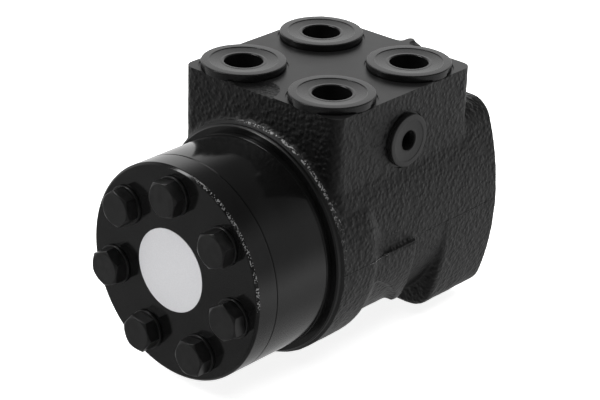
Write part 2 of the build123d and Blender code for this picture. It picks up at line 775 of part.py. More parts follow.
with BuildPart() as bearing_needles:
    for k in range(needle_count):
        angle = 2 * pi * k / needle_count
        outward = Vector(cos(angle), 0, sin(angle))
        root = outward * (needle_middle - needle_length / 2) + Vector(0, -needle_depth, 0)
        with BuildSketch(Plane(origin=root, z_dir=outward)):
            Circle(needle_radius)
        extrude(amount=needle_length)
bearing_needles.part.label = "bearing_needles"
export_step(bearing_needles.part, "parts/bearing_needles.step")

# Seals on the column side
shaft_seal = washer_ring(
    seal_groove_radius - static_clearance, spool_radius + running_clearance, seal_start + static_clearance,
    seal_width - 2 * static_clearance)
shaft_seal.label = "shaft_seal"
export_step(shaft_seal, "parts/shaft_seal.step")

with BuildPart() as dust_seal:
    with BuildSketch(Plane.XY):
        lip = spool_radius + running_clearance
        case = mouth_radius - static_clearance
        floor = mouth_depth - static_clearance
        with BuildLine():
            Polyline(
                (case, -mouth_chamfer_width), (case, -floor), (lip + dust_lip_relief_depth, -floor),
                (lip + dust_lip_relief_depth, -mouth_chamfer_width - dust_lip_length),
                (lip, -mouth_chamfer_width - dust_lip_length / 2),
                (lip + edge_break_width, -mouth_chamfer_width), close=True)
        make_face()
    revolve(axis=Axis.Y)
dust_seal.part.label = "dust_seal"
export_step(dust_seal.part, "parts/dust_seal.step")

# Drive shaft: a fork on the cross pin and a crowned spline in the rotor, leaning by the orbit_radius
lean = Vector(0, -cos(drive_angle), sin(drive_angle))
pin_centre = Vector(0, -pin_depth, 0)
spline_distance = sqrt((shaft_spline_depth - pin_depth) ** 2 + orbit_radius ** 2)
spline_start = spline_distance - shaft_spline_length / 2
spline_end = spline_distance + shaft_spline_length / 2
shaft_profile_plane = Plane(origin=pin_centre, x_dir=(1, 0, 0), z_dir=Vector(1, 0, 0).cross(lean))
neck_end = spline_start - spline_run_in_length
root_radius = drive_pitch_radius - drive_tooth_height / 2
tip_radius = drive_pitch_radius + drive_tooth_height / 2
with BuildPart() as drive_shaft:
    with BuildSketch(shaft_profile_plane):
        with BuildLine():
            Polyline(
                (0, -fork_reach_length), (fork_radius - edge_break_width, -fork_reach_length),
                (fork_radius, -fork_reach_length + edge_break_width),
                (fork_radius, fork_length - fork_reach_length),
                (shaft_radius, fork_length - fork_reach_length + shaft_fork_cone_length),
                (shaft_radius, neck_end - shaft_neck_length - shaft_neck_cone_length),
                (shaft_neck_radius, neck_end - shaft_neck_length), (shaft_neck_radius, neck_end),
                (root_radius, spline_start), (root_radius, spline_end), (0, spline_end), close=True)
        make_face()
    revolve(axis=Axis(pin_centre, lean))
    with BuildSketch(Plane(origin=pin_centre + lean * spline_start, x_dir=(1, 0, 0), z_dir=lean)):
        spline_teeth(drive_teeth, drive_pitch_radius, drive_tooth_height, 0)
    extrude(amount=shaft_spline_length)
    with BuildSketch(shaft_profile_plane):
        with BuildLine():
            crown = ThreePointArc(
                (tip_radius - spline_crown_depth, spline_start), (tip_radius, spline_distance),
                (tip_radius - spline_crown_depth, spline_end))
            Polyline(
                crown @ 0, (tip_radius + cut_margin, spline_start), (tip_radius + cut_margin, spline_end),
                crown @ 1)
        make_face()
    revolve(axis=Axis(pin_centre, lean), mode=Mode.SUBTRACT)
    fork_end = pin_centre - lean * (fork_reach_length + cut_margin)
    with BuildSketch(Plane(origin=fork_end, x_dir=(1, 0, 0), z_dir=lean)):
        Rectangle(2 * (fork_radius + cut_margin), 2 * pin_radius + fork_clearance)
    extrude(amount=fork_reach_length + cut_margin + pin_radius + fork_clearance, mode=Mode.SUBTRACT)
drive_shaft.part.label = "drive_shaft"
export_step(drive_shaft.part, "parts/drive_shaft.step")

# Spacer between the drive shaft and the cover
with BuildPart() as shaft_spacer:
    with BuildSketch(across(cover_depth - spacer_gap - spacer_length)):
        with Locations((0, rotor_axis_z)):
            Circle(spacer_radius)
    extrude(amount=spacer_length)
    chamfer(shaft_spacer.edges().filter_by(GeomType.CIRCLE), edge_break_width)
shaft_spacer.part.label = "shaft_spacer"
export_step(shaft_spacer.part, "parts/shaft_spacer.step")

# Transport plugs
for port, (port_x, port_y) in port_places.items():
    plug = push_in_plug(
        mouth_plane(port_x, port_y, block_top, (0, 0, 1)), plug_flange_radius, plug_flange_height,
        spot_face_sink_depth, plug_hollow_radius, port_radius - static_clearance, plug_shank_length,
        plug_rim_width)
    plug.label = f"{port}_port_plug"
    export_step(plug, f"parts/{port}_port_plug.step")
plug = push_in_plug(
    mouth_plane(block_half_width, sensing_depth, sensing_height, (1, 0, 0)), sensing_plug_flange_radius,
    sensing_plug_flange_height, spot_face_sink_depth, sensing_plug_hollow_radius,
    sensing_radius - static_clearance, sensing_plug_shank_length, sensing_plug_rim_width)
plug.label = "sensing_port_plug"
export_step(plug, "parts/sensing_port_plug.step")

# Label
with BuildPart() as cover_label:
    with BuildSketch(across(cover_face_depth)):
        with Locations((label_x, label_z)):
            Circle(label_radius)
    extrude(amount=label_thickness)
cover_label.part.label = "cover_label"
export_step(cover_label.part, "parts/cover_label.step")
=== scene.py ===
import json
from math import cos, pi, radians, sin, sqrt, tan

import bpy
from mathutils import Matrix, Vector


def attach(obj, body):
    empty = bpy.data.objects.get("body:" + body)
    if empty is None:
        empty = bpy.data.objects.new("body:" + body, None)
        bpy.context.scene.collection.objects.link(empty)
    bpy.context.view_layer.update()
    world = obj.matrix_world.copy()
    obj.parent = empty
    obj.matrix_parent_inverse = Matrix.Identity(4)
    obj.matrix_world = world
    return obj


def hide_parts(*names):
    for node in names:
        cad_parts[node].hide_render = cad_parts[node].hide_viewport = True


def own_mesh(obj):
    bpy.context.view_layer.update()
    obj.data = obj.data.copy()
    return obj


# Orbital steering unit. The spool axis is Y, the gear set is at the -Y end and the ports open upwards.
# Sizes in the dictionaries are millimetres; a depth is a distance from the column face along -Y.
mm = 0.001
axisDown = (pi / 2, 0, 0)      # turns a piece made along +Z so that it lies along -Y
axisSide = (0, pi / 2, 0)      # turns it so that it lies along +X
upright = (0, 0, 0)

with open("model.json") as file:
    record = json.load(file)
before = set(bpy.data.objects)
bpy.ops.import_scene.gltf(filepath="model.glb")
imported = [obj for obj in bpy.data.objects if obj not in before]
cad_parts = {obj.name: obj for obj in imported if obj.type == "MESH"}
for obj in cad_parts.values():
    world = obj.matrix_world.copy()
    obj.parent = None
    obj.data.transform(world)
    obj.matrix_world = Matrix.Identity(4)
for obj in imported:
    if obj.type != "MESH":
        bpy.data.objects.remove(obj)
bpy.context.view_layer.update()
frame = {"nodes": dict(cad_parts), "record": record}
nodes = frame["nodes"]
print("frame loaded:", len(nodes), "nodes")


def onlyThis(piece):
    bpy.ops.object.select_all(action="DESELECT")
    piece.select_set(True)
    bpy.context.view_layer.objects.active = piece


def startEdit(piece):
    onlyThis(piece)
    bpy.ops.object.mode_set(mode="EDIT")
    bpy.ops.mesh.select_mode(type="VERT")


def stopEdit():
    bpy.ops.object.mode_set(mode="OBJECT")


def moveVerts(piece, test, shift):
    # moves the vertices that pass the test, which gets their place in millimetres
    startEdit(piece)
    bpy.ops.mesh.select_all(action="DESELECT")
    stopEdit()
    for v in piece.data.vertices:
        v.select = bool(test(v.co / mm))
    bpy.ops.object.mode_set(mode="EDIT")
    bpy.ops.transform.translate(value=[s * mm for s in shift])
    stopEdit()


def settle(piece, where=(0, 0, 0), turn=upright):
    # puts a piece in its place, and leaves its object at the origin
    onlyThis(piece)
    piece.rotation_euler = turn
    piece.location = Vector(where) * mm
    bpy.ops.object.transform_apply(location=True, rotation=True, scale=True)
    return piece


def tidyMesh(piece, gap=0.0005):
    # joins loose faces into one skin that faces outwards
    startEdit(piece)
    bpy.ops.mesh.select_all(action="SELECT")
    bpy.ops.mesh.remove_doubles(threshold=gap * mm)
    bpy.ops.mesh.normals_make_consistent(inside=False)
    stopEdit()
    return piece


def turned(title, profile, sides=96, ring=False):
    # a lathe: the profile is a list of (height, radius), and a ring's profile closes on itself
    bpy.ops.object.select_all(action="DESELECT")
    height, radius = profile[0]
    fill = "NOTHING" if ring else "NGON"
    bpy.ops.mesh.primitive_circle_add(
        vertices=sides, radius=radius * mm, fill_type=fill, location=(0, 0, height * mm))
    piece = bpy.context.object
    piece.name = title
    bpy.ops.object.transform_apply(location=True)
    startEdit(piece)
    bpy.ops.mesh.select_all(action="SELECT")
    path = profile[1:] + (profile[:1] if ring else [])
    for nextHeight, nextRadius in path:
        lift = {"value": (0, 0, (nextHeight - height) * mm), "orient_type": "GLOBAL"}
        bpy.ops.mesh.extrude_region_move(TRANSFORM_OT_translate=lift)
        grow = nextRadius / radius
        bpy.ops.transform.resize(
            value=(grow, grow, 1), orient_type="GLOBAL", center_override=(0, 0, nextHeight * mm))
        height, radius = nextHeight, nextRadius
    stopEdit()
    return tidyMesh(piece)


def stepped(*parts):
    # profile of plain cylinders end to end, each given as its start, its end and its radius
    return [point for start, end, radius in parts for point in ((start, radius), (end, radius))]


def ringShape(low, high, inner, outer):
    return [(low, inner), (low, outer), (high, outer), (high, inner)]


def threaded(low, high, core, depth, pitch):
    # profile of a threaded bore, from low to high
    rise, crest, fall = 0.25, 0.55, 0.75      # shares of the pitch
    profile = [(low, core)]
    for k in range(int((high - low) / pitch)):
        profile += [(low + (k + rise) * pitch, core), (low + (k + crest) * pitch, core + depth)]
        profile += [(low + (k + fall) * pitch, core + depth), (low + (k + 1) * pitch, core)]
    return profile + [(high, core)]


def rod(title, radius, start, end, where=(0, 0), turn=axisDown, sides=48):
    # a plain cylinder from one height to another, along the turned +Z
    piece = turned(title, [(start, radius), (end, radius)], sides)
    if turn == axisDown:
        where = (where[0], 0, where[1])
    return settle(piece, where, turn)


def block(title, low, high):
    # a cube primitive between two corners
    bpy.ops.object.select_all(action="DESELECT")
    middle = [(a + b) / 2 * mm for a, b in zip(low, high)]
    size = [(b - a) * mm for a, b in zip(low, high)]
    bpy.ops.mesh.primitive_cube_add(size=1, location=middle, scale=size)
    piece = bpy.context.object
    piece.name = title
    bpy.ops.object.transform_apply(location=True, rotation=True, scale=True)
    return piece


def modify(piece, kind, title, **settings):
    # adds a modifier and applies it
    onlyThis(piece)
    change = piece.modifiers.new(title, kind)
    for key, value in settings.items():
        setattr(change, key, value)
    bpy.ops.object.modifier_apply(modifier=change.name)
    return piece


def soften(piece, width, segments=3, angle=30):
    # rounds every edge sharper than the angle
    return modify(
        piece, "BEVEL", "soften", width=width * mm, segments=segments, limit_method="ANGLE",
        angle_limit=radians(angle), use_clamp_overlap=True)


def smoothShade(piece, angle=32):
    onlyThis(piece)
    bpy.ops.object.shade_smooth_by_angle(angle=radians(angle))
    return modify(piece, "WEIGHTED_NORMAL", "even", keep_sharp=True)


def cutWith(piece, tool, operation="DIFFERENCE"):
    modify(
        piece, "BOOLEAN", "cut", operation=operation, object=tool, solver="MANIFOLD",
        material_mode="TRANSFER")
    bpy.data.objects.remove(tool)
    return piece


def merged(title, pieces):
    # one object of several
    bpy.ops.object.select_all(action="DESELECT")
    for piece in pieces:
        piece.select_set(True)
    bpy.context.view_layer.objects.active = pieces[0]
    bpy.ops.object.join()
    pieces[0].name = title
    return pieces[0]


def copyOf(piece, title):
    # a copy with its own mesh
    double = piece.copy()
    double.data = piece.data.copy()
    double.name = title
    for key in list(double.keys()):
        if key.startswith("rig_"):
            del double[key]
    double.parent = None
    bpy.context.scene.collection.objects.link(double)
    return double


def paint(piece, finish):
    piece.data.materials.clear()
    piece.data.materials.append(finish)
    return piece


def dress(piece, body, slot, *standsFor):
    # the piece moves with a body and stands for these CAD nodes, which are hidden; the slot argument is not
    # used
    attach(piece, body)
    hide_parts(*standsFor)


class Wire:
    # a shader value that takes part in sums
    def __init__(self, recipe, socket):
        self.recipe = recipe
        self.socket = socket

    def maths(self, operation, *others):
        return self.recipe.node("ShaderNodeMath", {"operation": operation}, *[self, *others])

    def __add__(self, other):
        return self.maths("ADD", other)

    def __sub__(self, other):
        return self.maths("SUBTRACT", other)

    def __mul__(self, other):
        return self.maths("MULTIPLY", other)

    def __radd__(self, other):
        return self.maths("ADD", other)

    def __rmul__(self, other):
        return self.maths("MULTIPLY", other)

    def __rsub__(self, other):
        return self.recipe.node("ShaderNodeMath", {"operation": "SUBTRACT"}, other, self)

    def __abs__(self):
        return self.maths("ABSOLUTE")

    def ramp(self, low, high, start=0.0, end=1.0, kind="SMOOTHSTEP"):
        # start where this value is below low, end where it is above high
        return self.recipe.node(
            "ShaderNodeMapRange", {"interpolation_type": kind}, self, low, high, start, end)

    def span(self, low, high):
        # 0 to 1 between two lengths in millimetres
        return self.ramp(low * mm, high * mm)


class Recipe:
    # a material or a world, and the nodes that it is made of
    def __init__(self, owner, shader="Principled BSDF", place="Object"):
        self.owner = owner
        owner.use_nodes = True
        self.tree = owner.node_tree
        self.shader = self.tree.nodes[shader]
        self.place = self.node("ShaderNodeTexCoord", {}, output=place)

    def node(self, kind, settings, *inputs, output=0, **named):
        made = self.tree.nodes.new(kind)
        for key, value in settings.items():
            setattr(made, key, value)
        for key, value in [*enumerate(inputs), *named.items()]:
            self.feed(made.inputs[key], value)
        return Wire(self, made.outputs[output])

    def feed(self, socket, value):
        if isinstance(value, Wire):
            self.tree.links.new(value.socket, socket)
        else:
            socket.default_value = value

    def noise(self, size, detail=2.0, roughness=0.5, stretch=None):
        # grey noise whose grains are about this many millimetres
        vector = self.place
        if stretch:
            vector = self.node("ShaderNodeMapping", {}, vector, Scale=stretch)
        return self.node(
            "ShaderNodeTexNoise", {"noise_dimensions": "3D"}, Vector=vector, Scale=1 / (size * mm),
            Detail=detail, Roughness=roughness, output="Fac")

    def cells(self, size):
        return self.node(
            "ShaderNodeTexVoronoi", {"feature": "SMOOTH_F1"}, Vector=self.place, Scale=1 / (size * mm),
            output="Distance")

    def split(self):
        made = self.tree.nodes.new("ShaderNodeSeparateXYZ")
        self.feed(made.inputs[0], self.place)
        return [Wire(self, made.outputs[k]) for k in range(3)]

    def depth(self):
        return 0 - self.split()[1]

    def mixed(self, kind, index, output, mask, first, second):
        # a Mix node keeps sockets for each kind of value, and these start at the index
        made = self.tree.nodes.new("ShaderNodeMix")
        made.data_type = kind
        for place, value in ((0, mask), (index, first), (index + 1, second)):
            self.feed(made.inputs[place], value)
        return Wire(self, made.outputs[output])

    def blend(self, mask, first, second):
        # colours, first where the mask is 0
        return self.mixed("RGBA", 6, 2, mask, first, second)

    def blendValue(self, mask, first, second):
        return self.mixed("FLOAT", 2, 0, mask, first, second)

    def bump(self, height, distance, strength=1.0):
        # height runs from 0 to 1 over a distance in millimetres
        return self.node(
            "ShaderNodeBump", {}, Strength=strength, Distance=distance * mm, Height=height, output="Normal")

    def finish(self, **sockets):
        for key, value in sockets.items():
            self.feed(self.shader.inputs[key.replace("_", " ")], value)
        return self.owner


def finishOf(title):
    return Recipe(bpy.data.materials.new(title))


def colour(level, warm=0.0):
    return (level * (1 + warm), level, level * (1 - warm), 1.0)


def edgeWear(r, radius, width, start, end, lowX, lowZ, few=0.42):
    # specks of bare metal on a round edge, from one depth to another, where the paint has rubbed off
    wear = {"end": 0.2, "fade": 12, "speck": 0.55, "soft": 0.12, "patch": 2.2, "least": 0.38, "most": 0.5}
    x, y, z = r.split()
    depth = 0 - y
    off = abs((x * x + z * z).maths("SQRT") - radius * mm)
    near = (1 - off.span(width * 0.5, width)) * depth.span(start - wear["end"], start)
    near = near * (1 - depth.span(end, end + wear["end"]))
    place = x.span(lowX, lowX + wear["fade"]) * z.span(lowZ, lowZ + wear["fade"])
    dots = 1 - r.cells(wear["speck"]).ramp(few - wear["soft"], few)
    return near * place * dots * r.noise(wear["patch"], 2.0).ramp(wear["least"], wear["most"])


def makeCastPaint():
    look = {
        "paint": 0.003, "bare": 0.4, "rough": 0.34, "worn": 0.7,
        "grain": 0.9, "pebble": 1.71, "lumps": 3.0, "relief": 0.42,
        "line": 0.5, "waver": 0.6, "flashDepth": 74.5, "flash": (4.0, 7.5),
        "cornerX": (37.3, 39.0), "cornerDepth": (91.7, 93.5), "cornerZ": (-10.0, 30.0), "scuff": 0.8,
    }
    edge = {"radius": 46.3, "width": 0.5, "start": 94.3, "end": 96.0, "lowX": -12, "lowZ": 16, "few": 0.46}
    r = finishOf("castPaint")
    fine = r.noise(look["grain"], 2.5, 0.55)
    pebbles = r.cells(look["pebble"]).ramp(0.05, 0.65)
    lumps = r.noise(look["lumps"], 2.0)
    x, y, z = r.split()
    # the parting line, and the flash that is left on it
    ridge = 1 - abs(z + fine * (look["waver"] * mm)).span(0.0, look["line"])
    flash = ridge * (1 - abs(y + look["flashDepth"] * mm).span(*look["flash"]))
    height = fine * 0.5 + lumps * 0.25 - pebbles * 0.6 + ridge * 0.5 + flash * 1.2
    corner = x.span(*look["cornerX"]) * (0 - y).span(*look["cornerDepth"]) * z.span(*look["cornerZ"])
    worn = edgeWear(r, **edge)
    worn = worn.maths("MAXIMUM", corner * r.noise(look["scuff"], 3.0, 0.65).ramp(0.6, 0.68))
    worn = worn.maths("MAXIMUM", flash * fine.ramp(0.5, 0.6) * 0.8)
    tone = r.blend(lumps.ramp(0.3, 0.75), colour(look["paint"] * 0.85), colour(look["paint"] * 1.25))
    tone = r.blend(worn, tone, colour(look["bare"]))
    rough = look["rough"] + fine * 0.14
    normal = r.bump(height, look["relief"])
    return r.finish(Base_Color=tone, Roughness=rough, Metallic=worn * look["worn"], Normal=normal)


def makeMachinedPaint():
    look = {
        "dark": 0.005, "light": 0.007, "bare": 0.4, "rough": 0.3, "worn": 0.7,
        "haze": 9.0, "peel": 0.9, "peelDepth": 0.02, "groove": (94.1, 94.3), "grooveRough": 0.25,
    }
    edge = {"radius": 46.3, "width": 0.4, "start": 94.3, "end": 96.0, "lowX": -12, "lowZ": 14, "few": 0.46}
    r = finishOf("machinedPaint")
    haze = r.noise(look["haze"], 3.0)
    peel = r.noise(look["peel"], 1.0)
    worn = edgeWear(r, **edge)
    groove = r.depth().span(*look["groove"])      # paint lies thick and dull in the groove beside the neck
    tone = r.blend(haze.ramp(0.3, 0.7), colour(look["dark"]), colour(look["light"]))
    tone = r.blend(worn, tone, colour(look["bare"]))
    rough = look["rough"] + haze * 0.08 + groove * look["grooveRough"]
    normal = r.bump(peel, look["peelDepth"], 0.5)
    return r.finish(Base_Color=tone, Roughness=rough, Metallic=worn * look["worn"], Normal=normal)


def makeTurnedPaint():
    look = {
        "dark": 0.003, "light": 0.005, "bare": 0.4, "rough": 0.11, "worn": 0.7,
        "haze": 14.0, "peel": 1.3, "peelDepth": 0.012, "neck": (97.4, 97.9), "neckRough": 0.3,
    }
    edge = {"radius": 42.2, "width": 0.5, "start": 136.4, "end": 137.6, "lowX": 5, "lowZ": -4}
    r = finishOf("turnedPaint")
    haze = r.noise(look["haze"], 3.0)
    peel = r.noise(look["peel"], 1.0)
    worn = edgeWear(r, **edge)
    neck = 1 - r.depth().span(*look["neck"])
    tone = r.blend(haze.ramp(0.3, 0.7), colour(look["dark"]), colour(look["light"]))
    tone = r.blend(worn, tone, colour(look["bare"]))
    rough = look["rough"] + haze * 0.05 + neck * look["neckRough"] + worn * 0.2
    normal = r.bump(peel, look["peelDepth"], 0.5)
    return r.finish(Base_Color=tone, Roughness=rough, Metallic=worn * look["worn"], Normal=normal)


def makeScrewPaint():
    look = {"dark": 0.005, "light": 0.009, "rough": 0.24, "haze": 2.5, "pits": 0.7, "relief": 0.06}
    r = finishOf("screwPaint")
    haze = r.noise(look["haze"], 3.0)
    pits = r.noise(look["pits"], 2.0)
    tone = r.blend(haze.ramp(0.35, 0.7), colour(look["dark"]), colour(look["light"]))
    normal = r.bump(haze + pits * 0.5, look["relief"], 0.6)
    return r.finish(Base_Color=tone, Roughness=look["rough"] + haze * 0.14, Normal=normal)


def makePlugPlastic():
    look = {"dark": 0.006, "light": 0.009, "rough": 0.2, "haze": 6.0, "grain": 0.35, "relief": 0.004}
    r = finishOf("plugPlastic")
    haze = r.noise(look["haze"], 2.0)
    tone = r.blend(haze.ramp(0.3, 0.7), colour(look["dark"]), colour(look["light"]))
    normal = r.bump(r.noise(look["grain"], 1.0), look["relief"], 0.5)
    return r.finish(Base_Color=tone, Roughness=look["rough"] + haze * 0.06, Normal=normal)


def makeLabelFilm():
    look = {
        "dark": (0.52, 0.52, 0.535, 1), "light": (0.56, 0.56, 0.575, 1), "rough": 0.42,
        "fibre": 0.5, "relief": 0.004,
    }
    r = finishOf("labelFilm")
    fibre = r.noise(look["fibre"], 2.0)
    tone = r.blend(fibre.ramp(0.3, 0.7), look["dark"], look["light"])
    normal = r.bump(fibre, look["relief"], 0.4)
    return r.finish(Base_Color=tone, Roughness=look["rough"], Normal=normal)


def makeSteel(title, level, rough, warm=0.0):
    look = {"streak": 0.4, "along": 0.06, "relief": 0.004}
    r = finishOf(title)
    streak = r.noise(look["streak"], 3.0, 0.6, stretch=(1, look["along"], 1))
    tone = r.blend(streak.ramp(0.2, 0.8), colour(level * 0.9, warm), colour(level * 1.06, warm))
    normal = r.bump(streak, look["relief"], 0.5)
    return r.finish(Base_Color=tone, Roughness=rough + streak * 0.08, Metallic=1.0, Normal=normal)


def makeRubber():
    look = {"dark": 0.022, "light": 0.032, "rough": 0.5, "haze": 1.5, "relief": 0.02}
    r = finishOf("sealRubber")
    haze = r.noise(look["haze"], 3.0)
    tone = r.blend(haze.ramp(0.3, 0.7), colour(look["dark"]), colour(look["light"]))
    normal = r.bump(haze, look["relief"], 0.5)
    return r.finish(Base_Color=tone, Roughness=look["rough"] + haze * 0.12, Normal=normal)


castPaint = makeCastPaint()
machinedPaint = makeMachinedPaint()
turnedPaint = makeTurnedPaint()
screwPaint = makeScrewPaint()
plugPlastic = makePlugPlastic()
labelFilm = makeLabelFilm()
groundSteel = makeSteel("groundSteel", 0.55, 0.2)
springSteel = makeSteel("springSteel", 0.36, 0.3, -0.06)
cageBrass = makeSteel("cageBrass", 0.5, 0.3, 0.3)
sealRubber = makeRubber()
slotFinish = {
    "casting_paint": castPaint, "turned_paint": turnedPaint, "screw_paint": screwPaint,
    "plug_plastic": plugPlastic, "label_film": labelFilm, "ground_steel": groundSteel,
    "spring_steel": springSteel, "cage_brass": cageBrass, "seal_rubber": sealRubber,
}
for part in frame["record"]["subparts"]:
    for slot in nodes[part["node"]].material_slots:
        slot.link = "OBJECT"
        slot.material = slotFinish[part["material_slot"]]
print("finishes ready:", len(slotFinish))


# what several pieces share: x and depth of the ports, the depth at which each layer starts, the screws
ports = {"pressure": (22.4, 77.7), "tank": (-22.4, 77.7), "left": (22.4, 33.3), "right": (-22.4, 33.3)}
stack = {
    "neck": 96.0, "plate": 97.8, "ring": 100.4, "cover": 127.1, "face": 137.4, "heads": 138.6,
    "outer": 42.5, "top": 59.1,
}
sensing = {"x": 38.5, "depth": 54.1, "z": 40.3}
screwPlan = {"count": 7, "circle": 31.4, "hole": 4.4, "tapped": 4.05, "pinIndex": 5}


def around(circle, k, half=0.0):
    # place of the k-th screw, or of a hole half a step on
    angle = radians(90 + 360 / screwPlan["count"] * (k + half))
    return circle * cos(angle), circle * sin(angle)


def gearEndTools():
    # cutters for the bore and for the holes of the cap screws
    size = {
        "lead": 21.3, "steps": [(0.8, 5, 19.5), (5, 7, 15), (7, 11, 18.2), (11, 13, 15), (13, 99, 19.05)],
        "screwStart": 81.3, "ballSeat": 70.0, "ballWay": 62.0, "seat": 3.0, "past": 99.0,
    }
    bore = [(-1, size["lead"])] + stepped(*size["steps"])
    tools = [settle(turned("boreTool", bore), turn=axisDown)]
    start, past, tapped = size["screwStart"], size["past"], screwPlan["tapped"]
    for k in range(screwPlan["count"]):
        profile = stepped((start, past, tapped))
        if k == screwPlan["pinIndex"]:      # the check ball lies under this screw
            ball = size["ballSeat"]
            profile = stepped((size["ballWay"], ball, size["seat"]), (ball, past, tapped))
        x, z = around(screwPlan["circle"], k)
        tools.append(settle(turned("screwTool", profile, 32), (x, 0, z), axisDown))
    return tools


housing = {
    "raise": 2.0, "voxel": 0.9, "ease": 0.5, "easeSteps": 3,
    "portBlock": ((-36, -91, 0), (36, -17, 57)),
    "topCut": ((-60, -94.2, stack["top"]), (60, 5, 75)), "columnCut": ((-60, 0, -60), (60, 10, 59)),
    "gearEnd": [(stack["neck"], 45.4), (94.3, 46.93), (94.3, 75), (110, 75)],
    "mainPort": {
        "core": 9.5, "floor": 43.1, "threadEnd": 56.8, "thread": 0.85, "pitch": 1.8, "mouth": 57.6,
        "flare": 0.9, "face": 58.6, "spot": 17.2, "past": 66,
    },
    "sidePort": {
        "core": 5.9, "floor": 27.0, "threadEnd": 36.8, "thread": 0.6, "pitch": 1.34, "mouth": 37.8,
        "flare": 0.7, "face": sensing["x"], "spot": 11.3, "past": 46,
    },
    "columnCircle": 41.25, "columnHole": 4.25, "columnLead": 5.8, "leadEnd": 0.6, "columnHoleEnd": 18.0,
    "lumps": (7.0, 1, 0.3), "grain": (2.0, 2, 0.12),      # size, detail and height
    "neckStart": 95.0, "neck": 45.4, "neckInner": 10, "neckChamfer": 0.6,
}
# rods that fill what is hollow, so that only the outside takes the casting's grain: radius, start, end
filler = {
    "barrel": (42.0, 15, 98.8), "boss": (46.3, 90.0, 98.8), "column": (38.0, -1, 33),
    "side": (11.6, 26, 39), "port": (9.8, 40, 60.6), "columnHole": (4.6, -1, 19),
}


def portShape(port):
    # profile of a threaded hole that opens in a round spot face
    core, face, spot = port["core"], port["face"], port["spot"]
    profile = threaded(port["floor"], port["threadEnd"], core, port["thread"], port["pitch"])
    return profile + [(port["mouth"], core), (face, core + port["flare"]), (face, spot), (port["past"], spot)]


def columnHoles():
    # x and z of the four holes of the column's screws
    circle = housing["columnCircle"]
    angles = [radians(45 + 90 * k) for k in range(4)]
    return [(circle * cos(angle), circle * sin(angle)) for angle in angles]


def growCasting():
    # the outside of the CAD housing, remeshed so that it can take the casting's grain
    body = tidyMesh(copyOf(nodes["housing"], "castHousing"))
    body.data.materials.clear()
    moveVerts(body, lambda c: c.z > housing["mainPort"]["face"] - 0.05, (0, 0, housing["raise"]))
    moveVerts(body, lambda c: c.y > -0.05, (0, 1, 0))
    fill = [
        rod("fill", *filler["barrel"], sides=96), rod("fill", *filler["boss"], sides=128),
        rod("fill", *filler["column"], sides=96), block("fill", *housing["portBlock"]),
        rod("fill", *filler["side"], (0, -sensing["depth"], sensing["z"]), axisSide),
    ]
    for x, depth in ports.values():
        fill.append(rod("fill", *filler["port"], (x, -depth, 0), upright, 64))
    for where in columnHoles():
        fill.append(rod("fill", *filler["columnHole"], where))
    body = merged("castHousing", [body] + fill)
    modify(body, "REMESH", "skin", mode="VOXEL", voxel_size=housing["voxel"] * mm)

    # the largest shell is the outside, and the others are what was left hollow
    startEdit(body)
    bpy.ops.mesh.select_all(action="SELECT")
    bpy.ops.mesh.separate(type="LOOSE")
    stopEdit()
    shells = sorted(bpy.context.selected_objects, key=lambda o: len(o.data.vertices))
    body = shells.pop()
    for shell in shells:
        bpy.data.objects.remove(shell)
    modify(body, "SMOOTH", "ease", factor=housing["ease"], iterations=housing["easeSteps"])
    body.data.materials.append(castPaint)
    print("casting grown:", len(body.data.polygons), "faces")
    return body


def machineCasting(body):
    # flat and turned faces
    tools = [
        block("topTool", *housing["topCut"]), block("columnTool", *housing["columnCut"]),
        settle(turned("endTool", housing["gearEnd"], 128), turn=axisDown),
    ]
    cutWith(body, paint(merged("flatTools", tools), machinedPaint))

    # spot faces, ports and holes
    tools = gearEndTools()
    for x, depth in ports.values():
        tools.append(settle(turned("portTool", portShape(housing["mainPort"]), 72), (x, -depth, 0)))
    sideTool = turned("sideTool", portShape(housing["sidePort"]), 64)
    tools.append(settle(sideTool, (0, -sensing["depth"], sensing["z"]), axisSide))
    hole = housing["columnHole"]
    profile = [(-1, housing["columnLead"]), (housing["leadEnd"], hole), (housing["columnHoleEnd"], hole)]
    for x, z in columnHoles():
        tools.append(settle(turned("columnTool", profile, 32), (x, 0, z), axisDown))
    cutWith(body, paint(merged("holeTools", tools), machinedPaint))


def roughenCasting(body):
    # the casting's unevenness, on faces that no tool has cut
    cut = {v for f in body.data.polygons if f.material_index for v in f.vertices}
    asCast = body.vertex_groups.new(name="asCast")
    asCast.add([v.index for v in body.data.vertices if v.index not in cut], 1.0, "REPLACE")
    for title in ("lumps", "grain"):
        scale, detail, height = housing[title]
        cloud = bpy.data.textures.new(title, "CLOUDS")
        cloud.noise_scale = scale * mm
        cloud.noise_depth = detail
        modify(
            body, "DISPLACE", title, texture=cloud, texture_coords="LOCAL", strength=height * mm,
            mid_level=0.5, vertex_group=asCast.name)


def makeHousing():
    body = growCasting()
    machineCasting(body)
    roughenCasting(body)
    start, end = housing["neckStart"], stack["plate"]
    radius, inner, chamfer = housing["neck"], housing["neckInner"], housing["neckChamfer"]
    neck = turned("neck", [
        (start, inner), (start, radius), (end - chamfer, radius), (end, radius - chamfer), (end, inner)],
        128, ring=True)
    settle(neck, turn=axisDown)
    tool = merged("neckTools", gearEndTools())
    cutWith(paint(neck, turnedPaint), paint(tool, turnedPaint))
    smoothShade(body, 42)
    smoothShade(neck)
    body = merged("castHousing", [body, neck])
    dress(body, "casing", "casting_paint", "housing")


